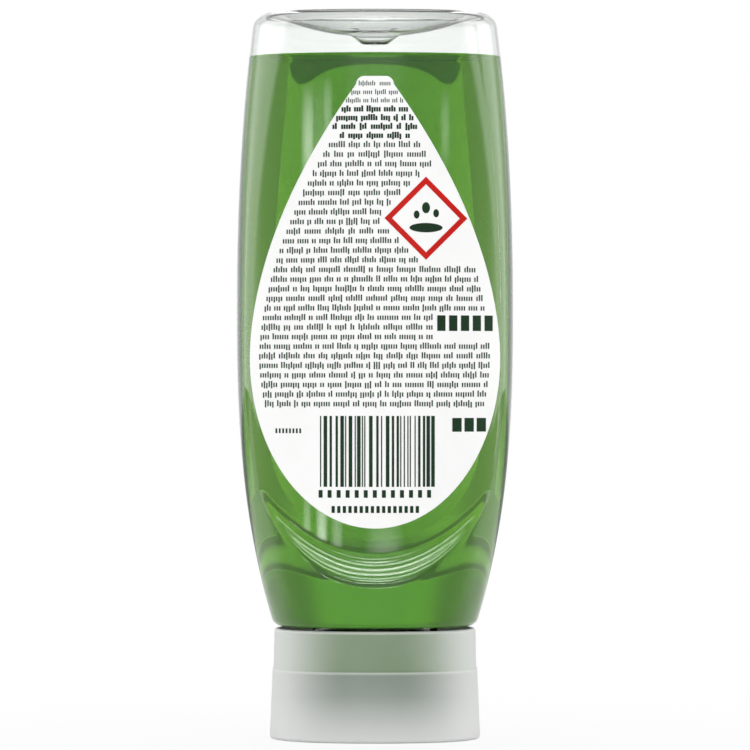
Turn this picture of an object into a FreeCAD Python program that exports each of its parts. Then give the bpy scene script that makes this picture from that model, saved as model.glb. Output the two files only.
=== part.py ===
import FreeCAD, Part
import math
import os

# Inverted squeeze bottle of dish soap, standing on its closure, in millimetres.
# +Z is up, the origin is at the middle of the closure's foot, the width runs along X,
# and the face with the small-print label looks along -Y.

Vector = FreeCAD.Vector
UP = Vector(0, 0, 1)

# Body of the bottle
bottle_top = 203.0
foot_height = 31.6
belly_height = 120.0
foot_width = 56.8
belly_width = 77.6
base_width = 67.8
foot_depth = 49.6
belly_depth = 53.8
base_depth = 49.6
foot_width_power = 2.6
foot_depth_power = 5.0
base_power = 2.2
squareness = 2.3
section_points = 24
sections_each_half = 5
body_wall = 0.7
rim_radius = 4.0
shoulder_radius = 1.8

# Label panels, one on each face, each ending below in a slanted step
panel_radius = 62.0
panel_half_depth_low = 23.4
panel_half_depth_high = 25.0
step_height = 50.0
step_slope_deg = 25.0

# Pushed-in base, which is at the top on this bottle, with the moulding's nub
dimple_half_width = 28.6
dimple_depth = 5.6
dimple_power = 2.2
dimple_shares = (1.08, 0.85, 0.65, 0.45, 0.25, 0.1)
nub_radius = 3.4
nub_depth = 2.4
nub_flare = 1.35

# Neck finish
neck_radius = 16.0
neck_wall = 1.5
bead_height = 18.0
bead_size = 0.7
lug_width = 4.0
lug_reach = 1.6
lug_length = 5.0

# Soap
fill_height = 190.6
soap_gap = 0.3

# Labels: an egg-shaped one at the back, and a fuller one with an arched top at the front
back_label_bottom = 59.3
back_label_widest = 106.4
back_label_top = 184.2
back_label_width = 69.6
back_label_top_width = 10.4
back_label_corner = 2.2
back_label_power = 1.84
front_label_bottom = 55.0
front_label_widest = 84.0
front_label_top = 191.8
front_label_width = 50.0
front_label_top_width = 39.0
front_label_corner = 2.6
front_label_power = 2.0
label_side_points = 6
label_thickness = 0.12

# Closure shell
closure_top = 30.8
seam_height = 19.6
closure_foot_width = 59.0
closure_foot_depth = 50.8
closure_seam_width = 57.4
closure_seam_depth = 49.2
closure_top_width = 56.4
closure_top_depth = 48.4
seam_step = 0.25
closure_wall = 1.4
closure_edge = 0.8
edge_steps = 3
deck_height = 1.0
deck_thickness = 1.8
foot_rim = 2.6
socket_wall = 1.3
socket_top = 28.0
bead_room = 0.5
ridge_clearance = 0.1
lug_clearance = 0.3
lip_clearance = 0.3

# Dispensing seat inside the closure
plug_clearance = 0.3
plug_wall = 1.6
plug_top = 12.0
seat_height = 3.0
seat_thickness = 1.4
orifice_radius = 6.2
well_radius = 8.2
turret_wall = 1.4

# Valve, its retainer and the impact housing above it
valve_flange = 1.2
valve_head_radius = 5.6
valve_head_rise = 0.6
valve_head_thickness = 0.9
slit_length = 8.0
slit_width = 0.08
seat_clearance = 0.1
retainer_height = 1.8
retainer_bore = 8.8
housing_foot = 1.2
housing_radius = 9.4
housing_wall = 1.2
housing_top = 22.0
window_count = 4
window_width = 7.0
window_height = 4.0
baffle_radius = 4.6
baffle_thickness = 1.0
spoke_width = 1.4

# Peel-off seal over the orifice
seal_radius = 11.0
seal_thickness = 0.15
tab_width = 8.0
tab_reach = 20.0

# Values that follow from the sizes above
slope = math.tan(math.radians(step_slope_deg))
neck_bore = neck_radius - neck_wall
deck_top = deck_height + deck_thickness
neck_lip = deck_top + lip_clearance
bead_radius = neck_radius + bead_size
socket_radius = bead_radius + bead_room
ridge_size = socket_radius - bead_radius - ridge_clearance
ridge_height = bead_height + 1.5 * (bead_size + ridge_size) + ridge_clearance
plug_radius = neck_bore - plug_clearance
plug_bore = plug_radius - plug_wall
seat_top = seat_height + seat_thickness
insert_radius = plug_bore - seat_clearance
retainer_foot = seat_top + valve_flange
housing_seat = retainer_foot + retainer_height
outside = 2 * belly_width


def cylinder(radius, low, high):
    """Upright cylinder on the bottle's axis."""
    return Part.makeCylinder(radius, high - low, Vector(0, 0, low), UP)


def tube(radius, bore, low, high):
    """Upright ring on the bottle's axis."""
    return cylinder(radius, low, high).cut(cylinder(bore, low, high))


def block(x_low, x_high, y_low, y_high, z_low, z_high):
    """Upright box between two corners."""
    corner = Vector(x_low, y_low, z_low)
    return Part.makeBox(x_high - x_low, y_high - y_low, z_high - z_low, corner)


def prism(points, direction):
    """Closed outline through the points, pushed along a direction."""
    outline = Part.makePolygon(points + [points[0]])
    return Part.Face(outline).extrude(direction)


def oval(width, depth, height):
    """Squared oval at one height, the plan shape of both the bottle and its closure."""
    points = []
    for index in range(section_points):
        angle = 2 * math.pi * index / section_points
        across = math.cos(angle)
        along = math.sin(angle)
        x = width / 2 * math.copysign(abs(across) ** (2 / squareness), across)
        y = depth / 2 * math.copysign(abs(along) ** (2 / squareness), along)
        points.append(Vector(x, y, height))
    curve = Part.BSplineCurve()
    curve.interpolate(Points=points, PeriodicFlag=True)
    return Part.Wire(curve.toShape())


def oval_loft(stations, ruled=False):
    """Solid through squared ovals, each given as width, depth and height."""
    return Part.makeLoft([oval(*station) for station in stations], True, ruled)


def edge_stations(width, depth, height, radius, upward):
    """Sections that round a moulding's outer edge off, from its side to its flat end."""
    stations = []
    for index in range(edge_steps + 1):
        angle = math.pi / 2 * index / edge_steps
        inset = radius * (1 - math.cos(angle))
        rise = radius * (1 - math.sin(angle))
        stations.append((width - 2 * inset, depth - 2 * inset, height - upward * rise))
    return stations


def snap_ring(radius, size, height):
    """Ring with slanted flanks on a neck or, with a size under 0, inside a socket."""
    reach = abs(size)
    points = [
        Vector(radius - size, 0, height - 1.5 * reach),
        Vector(radius, 0, height - 1.5 * reach),
        Vector(radius + size, 0, height - 0.5 * reach),
        Vector(radius + size, 0, height + 0.5 * reach),
        Vector(radius, 0, height + 1.5 * reach),
        Vector(radius - size, 0, height + 1.5 * reach),
    ]
    outline = Part.makePolygon(points + [points[0]])
    return Part.Face(outline).revolve(Vector(0, 0, 0), UP, 360)


def round_rim(solid, height, radius):
    """Rounds the closed edge that bounds a solid's flat end at one height."""
    edges = []
    for edge in solid.Edges:
        box = edge.BoundBox
        if box.ZLength < 1e-3 and abs(box.ZMin - height) < 1e-3:
            edges.append(edge)
    return solid.makeFillet(radius, edges)


def body_span(height, foot, belly, base, foot_power):
    """Width or depth of the body at one height, full at the belly and falling to both ends."""
    if height <= belly_height:
        share = (belly_height - height) / (belly_height - foot_height)
        return belly - (belly - foot) * share ** foot_power
    share = (height - belly_height) / (bottle_top - belly_height)
    return belly - (belly - base) * share ** base_power


def body_stations(inset):
    """Sections of the body, drawn in from the outer skin by a wall."""
    low = foot_height + inset
    high = bottle_top - inset
    heights = []
    for index in range(sections_each_half):
        heights.append(low + (belly_height - low) * index / sections_each_half)
    for index in range(sections_each_half + 1):
        heights.append(belly_height + (high - belly_height) * index / sections_each_half)
    stations = []
    for height in heights:
        width = body_span(height, foot_width, belly_width, base_width, foot_width_power)
        depth = body_span(height, foot_depth, belly_depth, base_depth, foot_depth_power)
        stations.append((width - 2 * inset, depth - 2 * inset, height))
    return stations


def dimple(inset):
    """Bowl that the base is pushed in by, with the flared nub at its middle."""
    rim = bottle_top - inset
    stations = []
    for share in dimple_shares:
        drop = dimple_depth * (1 - share ** dimple_power)
        depth = 2 * dimple_half_width * base_depth / base_width
        stations.append((2 * dimple_half_width * share, depth * share, rim - drop))
    rise = nub_depth * nub_flare
    tip = Vector(0, 0, rim - dimple_depth - nub_depth)
    nub = Part.makeCone(nub_radius, nub_radius + nub_flare * rise, rise, tip, UP)
    return oval_loft(stations).fuse(nub)


def panel_cylinder(side, growth):
    """Round that a label panel lies on, leaning with the body; side is -1 at the back."""
    rise = bottle_top - step_height
    lean = (panel_half_depth_high - panel_half_depth_low) / rise
    centre = panel_half_depth_low - lean * step_height - panel_radius
    axis = Vector(0, side * lean, 1)
    foot = Vector(0, side * centre, 0)
    return Part.makeCylinder(panel_radius + growth, bottle_top * 1.2, foot, axis)


def panel_cutter(side, inset):
    """What a label panel takes off the body, bounded below by the slanted step."""
    depth = panel_half_depth_low - inset / math.cos(math.radians(step_slope_deg))
    inner = depth / 3
    outer = belly_depth
    above = bottle_top + rim_radius
    corners = [
        (outer, step_height - (outer - depth) / slope),
        (inner, step_height + (depth - inner) / slope),
        (inner, above),
        (outer, above),
    ]
    points = [Vector(-belly_width, side * y, z) for y, z in corners]
    region = prism(points, Vector(outside, 0, 0))
    return region.cut(panel_cylinder(side, -inset))


def body_solid(inset):
    """Body with no neck: the outer skin at inset 0, the inner one at the wall."""
    solid = oval_loft(body_stations(inset))
    solid = round_rim(solid, bottle_top - inset, rim_radius - inset)
    solid = round_rim(solid, foot_height + inset, shoulder_radius - inset)
    solid = solid.cut(dimple(inset))
    for side in (-1, 1):
        solid = solid.cut(panel_cutter(side, inset))
    return solid


def make_bottle(room):
    """One blown piece: body, pushed-in base, neck, snap bead and two locating lugs."""
    neck = cylinder(neck_radius, neck_lip, foot_height + shoulder_radius)
    bead = snap_ring(neck_radius, bead_size, bead_height)
    reach = neck_radius + lug_reach
    half = lug_width / 2
    lugs = block(-reach, reach, -half, half, foot_height - lug_length, foot_height + body_wall)
    outer = body_solid(0).fuse([neck, bead, lugs])
    inner = room.Shells[0].copy()
    inner.reverse()
    hollow = Part.makeSolid(Part.makeCompound([outer.Shells[0], inner]))
    return hollow.cut(cylinder(neck_bore, neck_lip, foot_height + shoulder_radius))


def make_soap(room):
    """The soap up to its level, clear of what stands up inside the neck."""
    low = plug_top + soap_gap
    full = block(-outside, outside, -outside, outside, low, fill_height)
    neck = cylinder(neck_bore, low, foot_height + shoulder_radius)
    well = cylinder(housing_radius + soap_gap, 0, housing_top + soap_gap)
    return room.common(full).fuse(neck).cut(well)


def label_outline(bottom, widest, shoulder, half, half_top, power):
    """Half outline of a label, from its upper corner to its lowest point."""
    points = []
    for index in range(label_side_points):
        share = 1 - index / label_side_points
        x = half - (half - half_top) * share ** power
        points.append(Vector(x, 0, widest + share * (shoulder - widest)))
    steps = 2 * label_side_points
    for index in range(steps + 1):
        angle = math.pi / 2 * index / steps
        drop = (widest - bottom) * math.sin(angle)
        points.append(Vector(half * math.cos(angle), 0, widest - drop))
    return points


def make_label(side, bottom, widest, top, width, top_width, corner, power):
    """Film label that lies on one panel; its upper corners are rounded."""
    right = label_outline(bottom, widest, top - corner, width / 2, top_width / 2, power)
    curve = Part.BSplineCurve()
    curve.interpolate(Points=right, FinalTangent=Vector(-1, 0, 0))
    shoulder = right[0]
    inner = Vector(shoulder.x - corner, 0, top)
    bulge = Vector(shoulder.x - corner * 0.3, 0, top - corner * 0.3)
    half = [curve.toShape(), Part.Arc(shoulder, bulge, inner).toShape()]
    mirrored = [edge.mirror(Vector(0, 0, 0), Vector(1, 0, 0)) for edge in half]
    flat = Part.makeLine(inner, Vector(-inner.x, 0, inner.z))
    outline = Part.Wire(Part.__sortEdges__(half + mirrored + [flat]))
    prism_shape = Part.Face(outline).extrude(Vector(0, side * belly_depth, 0))
    film = panel_cylinder(side, label_thickness).cut(panel_cylinder(side, 0))
    return film.common(prism_shape)


def make_back_label():
    """Small-print label, narrow at its top."""
    return make_label(-1, back_label_bottom, back_label_widest, back_label_top, back_label_width,
                      back_label_top_width, back_label_corner, back_label_power)


def make_front_label():
    """Front label, fuller than the back one, with an arched top."""
    return make_label(1, front_label_bottom, front_label_widest, front_label_top, front_label_width,
                      front_label_top_width, front_label_corner, front_label_power)


def closure_outside():
    """Outer form of the closure: a flared lower tier and a slightly narrower upper one."""
    foot = edge_stations(closure_foot_width, closure_foot_depth, 0, closure_edge, -1)
    seam = (closure_seam_width, closure_seam_depth, seam_height)
    lower = oval_loft(foot[::-1] + [seam], True)
    start = (closure_seam_width - 2 * seam_step, closure_seam_depth - 2 * seam_step, seam_height)
    top = edge_stations(closure_top_width, closure_top_depth, closure_top, closure_edge, 1)
    upper = oval_loft([start] + top, True)
    return lower.fuse(upper)


def closure_hollow():
    """Room between the closure's wall and its socket, open at the top."""
    wall = 2 * closure_wall
    return oval_loft([
        (closure_seam_width - wall, closure_seam_depth - wall, deck_top),
        (closure_top_width - wall, closure_top_depth - wall, closure_top + 1),
    ], True)


def closure_recess():
    """Shallow recess under the deck, which leaves a rim to stand on."""
    width = closure_foot_width - 2 * (closure_edge + foot_rim)
    depth = closure_foot_depth - 2 * (closure_edge + foot_rim)
    return oval_loft([(width, depth, -1), (width, depth, deck_height)], True)


def make_closure():
    """One moulding: oval shell, deck, neck socket with its snap ridge, plug seal and valve seat."""
    shell = closure_outside().cut(closure_hollow()).cut(closure_recess())
    socket = tube(socket_radius + socket_wall, socket_radius, deck_top - deck_thickness / 2, socket_top)
    ridge = snap_ring(socket_radius, -ridge_size, ridge_height)
    reach = socket_radius + 2 * socket_wall
    notch = lug_width / 2 + lug_clearance
    notches = block(-reach, reach, -notch, notch, foot_height - lug_length - lug_clearance, closure_top)
    plug = tube(plug_radius, plug_bore, deck_top - deck_thickness / 2, plug_top)
    turret = tube(well_radius + turret_wall, well_radius, deck_height, seat_top)
    seat = tube(plug_radius, orifice_radius, seat_height, seat_top)
    collar = socket.fuse(ridge).cut(notches)
    whole = shell.cut(cylinder(well_radius, 0, deck_top + 1))
    return whole.fuse([collar, plug, turret, seat]).removeSplitter()


def make_valve():
    """Silicone valve: a flange on the seat and a dished head with crossed slits."""
    head_low = seat_height
    head_high = head_low + valve_head_rise
    points = [
        Vector(0, 0, head_high),
        Vector(valve_head_radius, 0, head_low),
        Vector(orifice_radius - seat_clearance, 0, seat_top),
        Vector(insert_radius, 0, seat_top),
        Vector(insert_radius, 0, retainer_foot),
        Vector(orifice_radius + valve_head_thickness, 0, retainer_foot),
        Vector(valve_head_radius - valve_head_thickness, 0, head_low + valve_head_thickness),
        Vector(0, 0, head_high + valve_head_thickness),
    ]
    outline = Part.makePolygon(points + [points[0]])
    valve = Part.Face(outline).revolve(Vector(0, 0, 0), UP, 360)
    half = slit_length / 2
    thin = slit_width / 2
    across = block(-half, half, -thin, thin, 0, retainer_foot)
    along = block(-thin, thin, -half, half, 0, retainer_foot)
    return valve.cut(across).cut(along)


def make_retainer():
    """Ring that clamps the valve's flange on its seat."""
    return tube(insert_radius, retainer_bore, retainer_foot, housing_seat)


def make_impact_housing():
    """Air dome over the valve, with inlet windows and a baffle that takes the shock of a knock."""
    floor = housing_seat + housing_foot
    foot = tube(insert_radius, housing_radius - housing_wall, housing_seat, floor)
    bore = housing_radius - housing_wall
    dome = cylinder(housing_radius, housing_seat, housing_top)
    dome = round_rim(dome, housing_top, housing_radius / 2)
    room = cylinder(bore, housing_seat, housing_top - housing_wall)
    room = round_rim(room, housing_top - housing_wall, housing_radius / 2 - housing_wall / 2)
    housing = dome.cut(room)
    for index in range(window_count):
        window = block(0, outside, -window_width / 2, window_width / 2, floor + housing_wall,
                       floor + housing_wall + window_height)
        window.rotate(Vector(0, 0, 0), UP, 360 * (index + 0.5) / window_count)
        housing = housing.cut(window)
    baffle_top = housing_seat + baffle_thickness
    baffle = cylinder(baffle_radius, housing_seat, baffle_top)
    thin = spoke_width / 2
    spoke_one = block(-bore, bore, -thin, thin, housing_seat, baffle_top)
    spoke_two = spoke_one.copy()
    spoke_two.rotate(Vector(0, 0, 0), UP, 90)
    return housing.fuse([foot, baffle, spoke_one, spoke_two]).removeSplitter()


def make_seal():
    """Peel-off film disc with a round-ended pull tab, stuck under the deck."""
    low = deck_height - seal_thickness
    disc = cylinder(seal_radius, low, deck_height)
    half = tab_width / 2
    tab = block(-half, half, 0, tab_reach - half, low, deck_height)
    end = Part.makeCylinder(half, seal_thickness, Vector(0, tab_reach - half, low), UP)
    return disc.fuse([tab, end]).removeSplitter()


def main():
    room = body_solid(body_wall)
    parts = {
        "bottle": make_bottle(room),
        "soap": make_soap(room),
        "back_label": make_back_label(),
        "front_label": make_front_label(),
        "closure": make_closure(),
        "slit_valve": make_valve(),
        "valve_retainer": make_retainer(),
        "impact_housing": make_impact_housing(),
        "transit_seal": make_seal(),
    }
    os.makedirs("parts", exist_ok=True)
    for name, shape in parts.items():
        shape.exportStep("parts/" + name + ".step")
        box = shape.optimalBoundingBox(False, False)
        print(name, len(shape.Solids), shape.isValid(), round(shape.Volume / 1000, 2), "ml",
              [round(v, 2) for v in (box.XMin, box.XMax, box.YMin, box.YMax, box.ZMin, box.ZMax)])


main()
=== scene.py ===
import math
import random

import bpy
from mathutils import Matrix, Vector


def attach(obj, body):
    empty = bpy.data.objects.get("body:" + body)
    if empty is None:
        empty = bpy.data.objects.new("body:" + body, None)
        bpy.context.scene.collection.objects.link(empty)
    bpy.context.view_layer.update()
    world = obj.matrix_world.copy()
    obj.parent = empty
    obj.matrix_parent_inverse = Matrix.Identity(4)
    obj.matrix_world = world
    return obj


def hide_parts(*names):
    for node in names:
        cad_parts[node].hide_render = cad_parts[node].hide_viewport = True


bl_info = {
    "name": "Dish soap bottle",
    "version": (1, 0, 0),
    "blender": (4, 5, 0),
    "location": "3D View > Sidebar > Soap bottle",
    "description": "Dresses a squeeze bottle of dish soap that stands on its closure",
    "category": "Add Mesh",
}

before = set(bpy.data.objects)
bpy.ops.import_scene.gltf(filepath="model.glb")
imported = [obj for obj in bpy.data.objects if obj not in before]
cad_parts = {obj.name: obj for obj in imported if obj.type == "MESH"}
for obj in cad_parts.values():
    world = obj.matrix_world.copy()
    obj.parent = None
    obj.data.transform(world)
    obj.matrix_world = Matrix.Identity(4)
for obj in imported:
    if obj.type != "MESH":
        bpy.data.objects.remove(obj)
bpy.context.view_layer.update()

# Lengths are in millimetres up to the point where a mesh is made.
MM = 0.001


def solid_span(name):
    """Lowest and highest point of one of the solids, in millimetres."""
    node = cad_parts[name]
    heights = [(node.matrix_world @ Vector(corner)).z / MM for corner in node.bound_box]
    return round(min(heights), 2), round(max(heights), 2)


# Heights that come from the solids
NECK_LIP, BOTTLE_TOP = solid_span("bottle")
SOAP_FOOT, SOAP_TOP = solid_span("soap")
LABEL_FOOT = solid_span("back_label")[0]
CLOSURE_TOP = solid_span("closure")[1]

# Body of the bottle, by the same rules as the solids
FOOT_HEIGHT = 31.6
BELLY_HEIGHT = 120.0
FOOT_SIZE = (56.8, 49.6)
BELLY_SIZE = (77.6, 53.8)
BASE_SIZE = (67.8, 49.6)
FOOT_POWERS = (2.6, 5.0)
BASE_POWER = 2.2
SQUARENESS = 2.3
BODY_WALL = 0.7
RIM_RADIUS = 4.0
SHOULDER_RADIUS = 1.8

# Label panels and the slanted step under each
PANEL_RADIUS = 62.0
PANEL_HALF_DEPTHS = (23.4, 25.0)
STEP_HEIGHT = 50.0
STEP_SLOPE = math.tan(math.radians(25.0))
STEP_COSINE = math.cos(math.radians(25.0))

# Gap between the bottle's skin and the solids' faces, so that the label films lie free on it
FILM_GAP = 0.03

# Pushed-in base with its nub
DIMPLE_HALF_WIDTH = 28.6
DIMPLE_DEPTH = 5.6
DIMPLE_POWER = 2.2
DIMPLE_EDGE = 1.08
DIMPLE_SOFTNESS = 1.6
NUB_FOOT = 7.4
NUB_TIP = 2.8
NUB_DEPTH = 2.4
NUB_MIDDLE = 0.004

# Neck
NECK_RADIUS = 16.0
NECK_BORE = 14.5
LIP_EDGE = 0.3
BEAD_HEIGHT = 18.0
BEAD_SIZE = 0.7
LUG_REACH = 1.6
LUG_HALF_WIDTH = 2.0
LUG_LENGTH = 5.0
LUG_GAP = 0.01

# Soap: the well in its foot, and how far it runs into the bottle's wall
WELL_RADIUS = 9.7
WELL_TOP = 22.3
SOAP_LAP = 0.35
MENISCUS_REACH = 3.0

# Back label's outline: lowest point, widest height, shoulder, half widths at both, power
BACK_OUTLINE = (LABEL_FOOT, 106.4, 182.0, 34.8, 5.2, 1.84)
LABEL_THICKNESS = 0.12

# Back label's rows of small print, the first ones each with a height and a width
TINY_ROWS = ((181.6, 9.0), (179.2, 13.0), (176.9, 16.0))
BOLD_ROWS = ((174.4, 18.5), (172.0, 21.5), (169.6, 23.5), (167.1, 19.5))
FIRST_ROW = 164.6
LAST_ROW = 92.5
ROW_PITCH = 2.65
ROW_BELOW = 1.0
ROW_ABOVE = 2.0
ROW_MIDDLE = 0.5
SIDE_MARGIN = 2.6

# Letters: size of the tiny and the plain text, and the weights of tiny, bold and plain text
TINY_SIZE = 0.95
TEXT_SIZE = 1.2
TINY_WEIGHT = 0.5
BOLD_WEIGHT = 0.8
TEXT_WEIGHT = 0.56
LETTER_PITCH = 0.56
LETTER_RISES = (1, 1, 1, 1.4)
LETTER_DROPS = (0, 0, 0, 0, 0, 0.3)
WORD_LENGTHS = (2, 9)
WIDEST_SLACK = 3
BAR_STEP = 2.0
PRINT_SEED = 11

# Upright bars in the manner of a shop code
BARS_LEFT = -15.2
BARS_RIGHT = 16.6
BARS_ZONE = (70.8, 90.4)
BAR_WIDTHS = (0.33, 0.33, 0.66, 0.99)
BAR_GAPS = (0.33, 0.66, 0.66, 1.0)

# Rows of blocks: how many, where the first starts, pitch, width, lower and upper edge
BLOCK_ROWS = (
    (5, 17.2, 3.3, 2.3, 113.9, 118.2),
    (13, -15.6, 2.5, 1.1, 67.8, 69.9),
    (3, 21.4, 3.4, 2.6, 86.0, 89.8),
    (8, -27.6, 0.95, 0.5, 85.6, 86.9),
    (16, -12.0, 1.55, 0.9, 63.6, 65.5),
)
BLOCK_LEFT = 16.2
BLOCK_ZONE = (111.0, 119.5)

# Framed mark on the back label, and the plate and drops in it, measured from its centre
MARK_X = 14.1
MARK_Z = 145.0
MARK_HALF = 11.5
MARK_BORDER = 1.5
MARK_CLEARANCE = 2.2
MARK_PLATE_LEVEL = -2.6
MARK_PLATE_SIZE = (4.6, 1.3)
MARK_DROPS = ((-2.6, 1.0, 0.8), (0.0, 2.9, 1.1), (2.8, 1.4, 0.8))
MARK_DROP_RISE = 1.4

# Front label's top band: its top, half the level part of that, and its lower edge on the right
CAP_TOP = 191.3
CAP_LEVEL_HALF = 17.4
CAP_LOWER_EDGE = (
    (0.0, 189.7), (3.0, 189.6), (6.0, 189.3), (9.4, 188.6), (12.7, 186.8), (15.0, 184.8),
    (16.2, 184.1), (17.4, 184.1), (18.3, 184.9), (18.9, 186.4), (19.2, 188.0), (19.3, 189.2),
)

# Front label's field, and the drops on it: where each stands and its size
FIELD_HEIGHT = 112.0
FIELD_HALF_WIDTH = 20.0
FIELD_HALF_HEIGHT = 30.0
FRONT_DROPS = ((-8.0, 126.0, 2.4), (0.5, 112.0, 5.4), (9.0, 96.0, 3.0))
DROP_HALF_HEIGHT = 1.6
DROP_FULLNESS = 2.4
DROP_TAPER = 1.25

# Seam between the closure's two tiers
SEAM_HEIGHT = 19.6
SEAM_SHARE = SEAM_HEIGHT / CLOSURE_TOP

# Painted shade where the neck and the soap in it show through the closure: distances from the
# middle, in metres, then how strongly at places up its height, and how pale the painted
# highlights on the rims of its two tiers are
NECK_SHADE_EDGES = (0.007, 0.032)
NECK_SHADE_LEAST = 0.08
NECK_SHADE_PLACES = (0.04, 0.2, 0.42, 0.6, 1.0)
NECK_SHADE_LEVELS = (0.08, 0.42, 0.9, 1.0, 0.95)
# Painted highlights: thin lighter bands just under the seam and at the top rim, where the edges catch
# the light
RIM_HIGHLIGHT_PLACES = (SEAM_SHARE - 0.03, SEAM_SHARE - 0.008, SEAM_SHARE + 0.004, 0.97, 0.99)
RIM_HIGHLIGHT_LEVELS = (0, 0.5, 0, 0, 0.6)
RIM_HIGHLIGHT_LIFT = 1.1
SEAM_BLUR = 0.02

# Closure's moulding: its grain per metre, the grain's relief in metres, and clouds in the tint
MOULDING_REFRACTION = 1.49
MOULDING_ROUGHNESS = (0.4, 0.5)
MOULDING_GRAIN = 1800
MOULDING_RELIEF = 0.00003
CLOUD_SCALE = 60
CLOUD_EDGES = (0.3, 0.7)
CLOUD_LEAST = 0.94

# Blown plastic: waves and grains per metre, and the waves' depth in metres
WAVE_SCALE = 45
WAVE_STRETCH = (1, 1, 0.5)
WAVE_DEPTH = 0.002
SKIN_GRAIN = 900
SKIN_SPREAD = 0.5

# Finishes: roughness, grains per metre, relief of the grain in metres, mottling of the colour
FILM_FINISH = (0.38, 1500, 0.00002, 0.01)
DARK_INK_FINISH = (0.42, 900, 0.00001, 0.12)
RED_INK_FINISH = (0.42, 900, 0.00001, 0.08)
FIELD_INK_FINISH = (0.42, 900, 0.00001, 0.08)
DARK_BAND_FINISH = (0.42, 900, 0.00001, 0.1)
WHITE_INK_FINISH = (0.42, 900, 0.00001, 0.02)
SILICONE_FINISH = (0.35, 1500, 0.00002, 0.03)
WHITE_MOULDING_FINISH = (0.4, 1800, 0.00002, 0.02)
SEAL_FINISH = (0.3, 700, 0.00003, 0.04)
BROAD_GRAIN = 12
GRAIN_SPREAD = 0.15
GRAIN_STRENGTH = 0.3
INK_SHINE = 0.15

# Part of a face's direction along Y at which a label starts and ends to let light through
FACING_EDGES = (0.1, 0.2)

# Surround: its white, and parts of a direction between which its shades pass into each other
WHITE = (1, 1, 1, 1)
FRONT_EDGES = (-0.5, -0.3)
SKY_EDGES = (0.45, 0.8)
GLASS_SIDE_EDGES = (0.15, 0.32)
GLASS_UPPER_EDGES = (0.075, 0.12)
GLOSS_SIDE_EDGES = (0.72, 0.9)

# Floor: half its size in millimetres, then in metres the stretch that its shades cover and the
# distances over which the shadow fades, and the places of the shades along their stretch
FLOOR_REACH = 3000
SHADE_STRETCH = (-1, 3)
SHADOW_EDGES = (0.05, 0.3)
SHADOW_LEAST = 0.8
FLOOR_PLACES = (0.24, 0.26, 0.35, 0.42, 0.7, 0.9)
FLOOR_ROUGHNESS = 0.7
FLOOR_GRAIN = 60
FLOOR_MOTTLE = 0.99

# Softboxes: name, azimuth, elevation, distance, width and height, share of their strength
SOFTBOXES = (
    ("window_near", -25, 5.8, 1.0, (0.12, 0.045), 0.7),
    ("window_middle", -35.5, 5.1, 1.0, (0.16, 0.06), 1.3),
    ("window_far", -30, 5.1, 1.0, (0.36, 0.07), 0.3),
    ("window_right", 37.5, 5.5, 1.0, (0.12, 0.04), 0.45),
    ("low_near", -20, -8.3, 0.5, (0.07, 0.06), 0.7),
    ("low_middle", -28.4, -8.3, 0.5, (0.07, 0.06), 1.6),
    ("low_far", -36.7, -8.3, 0.5, (0.05, 0.06), 0.9),
    ("low_centre", 5, -8.8, 0.5, (0.22, 0.04), 0.6),
    ("top_strip", 0, 30, 1.4, (1.6, 0.18), 1.6),
    ("low_strip", 0, 13, 1.4, (1.2, 0.09), 1.6),
    ("top_spot", 0, 22, 1.4, (0.35, 0.14), 2.4),
    ("ledge_spot", 0, 42, 1.4, (0.4, 0.16), 2.4),
    ("ledge_light", 0, 52, 1.4, (3.0, 0.9), 0.5),
    ("edge_strip", 88, 4, 1.0, (0.12, 0.5), 1.2),
)
SOFTBOX_FALLOFF = 1.6

# How finely the pieces are divided
SIDE_POINTS = 16
PANEL_POINTS = 36
CREASE_LIMITS = (math.radians(8), math.radians(62))
GATHERING = 1.5
SIDE_ZONES = ((40.0, 1.0), (70.0, 0.5), (188.0, 2.0), (199.0, 1.0))
EDGE_STEPS = 8
DIMPLE_STEPS = 14
NUB_STEPS = 14
CREASE_STEPS = 24
FLAT_STEPS = 4
MENISCUS_STEPS = 8
SURFACE_STEPS = 6
POINT_RADIUS = 0.05
FRAME_STEPS = 8
MARK_STEPS = 12
FIELD_STEPS = 40
DROP_STEPS = 16
DROP_STRIPS = 6


class BottleLook(bpy.types.PropertyGroup):
    """Clear blown bottle."""

    tint: bpy.props.FloatVectorProperty(
        name="Tint", description="Colour of the clear plastic", subtype="COLOR", size=3,
        min=0, max=1, default=(0.98, 1.0, 0.985))
    gloss: bpy.props.FloatProperty(
        name="Roughness", description="Roughness of the skin", min=0, max=1, default=0.02)
    refraction: bpy.props.FloatProperty(
        name="Index of refraction", description="How strongly the plastic bends light",
        min=1, max=2, default=1.5)
    edge_softness: bpy.props.FloatProperty(
        name="Edge softness", description="How wide a panel's edges are rounded",
        subtype="DISTANCE", unit="LENGTH", min=0.0001, default=0.0012)
    waviness: bpy.props.FloatProperty(
        name="Waviness", description="How wavy the blown wall is", min=0, max=1, default=0.05)


class SoapLook(bpy.types.PropertyGroup):
    """Soap in the bottle."""

    level: bpy.props.FloatProperty(
        name="Level", description="Height that the bottle is filled to",
        subtype="DISTANCE", unit="LENGTH", min=0.06, max=0.194, default=SOAP_TOP * MM)
    colour: bpy.props.FloatVectorProperty(
        name="Colour", description="Colour that the soap lets through", subtype="COLOR", size=3,
        min=0, max=1, default=(0.52, 0.77, 0.12))
    density: bpy.props.FloatProperty(
        name="Density", description="How strongly the soap colours light per metre",
        min=0, default=105)
    refraction: bpy.props.FloatProperty(
        name="Index of refraction", description="How strongly the soap bends light",
        min=1, max=2, default=1.36)
    meniscus: bpy.props.FloatProperty(
        name="Meniscus", description="How far the soap climbs the wall at its level",
        subtype="DISTANCE", unit="LENGTH", min=0, default=0.0002)


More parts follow.
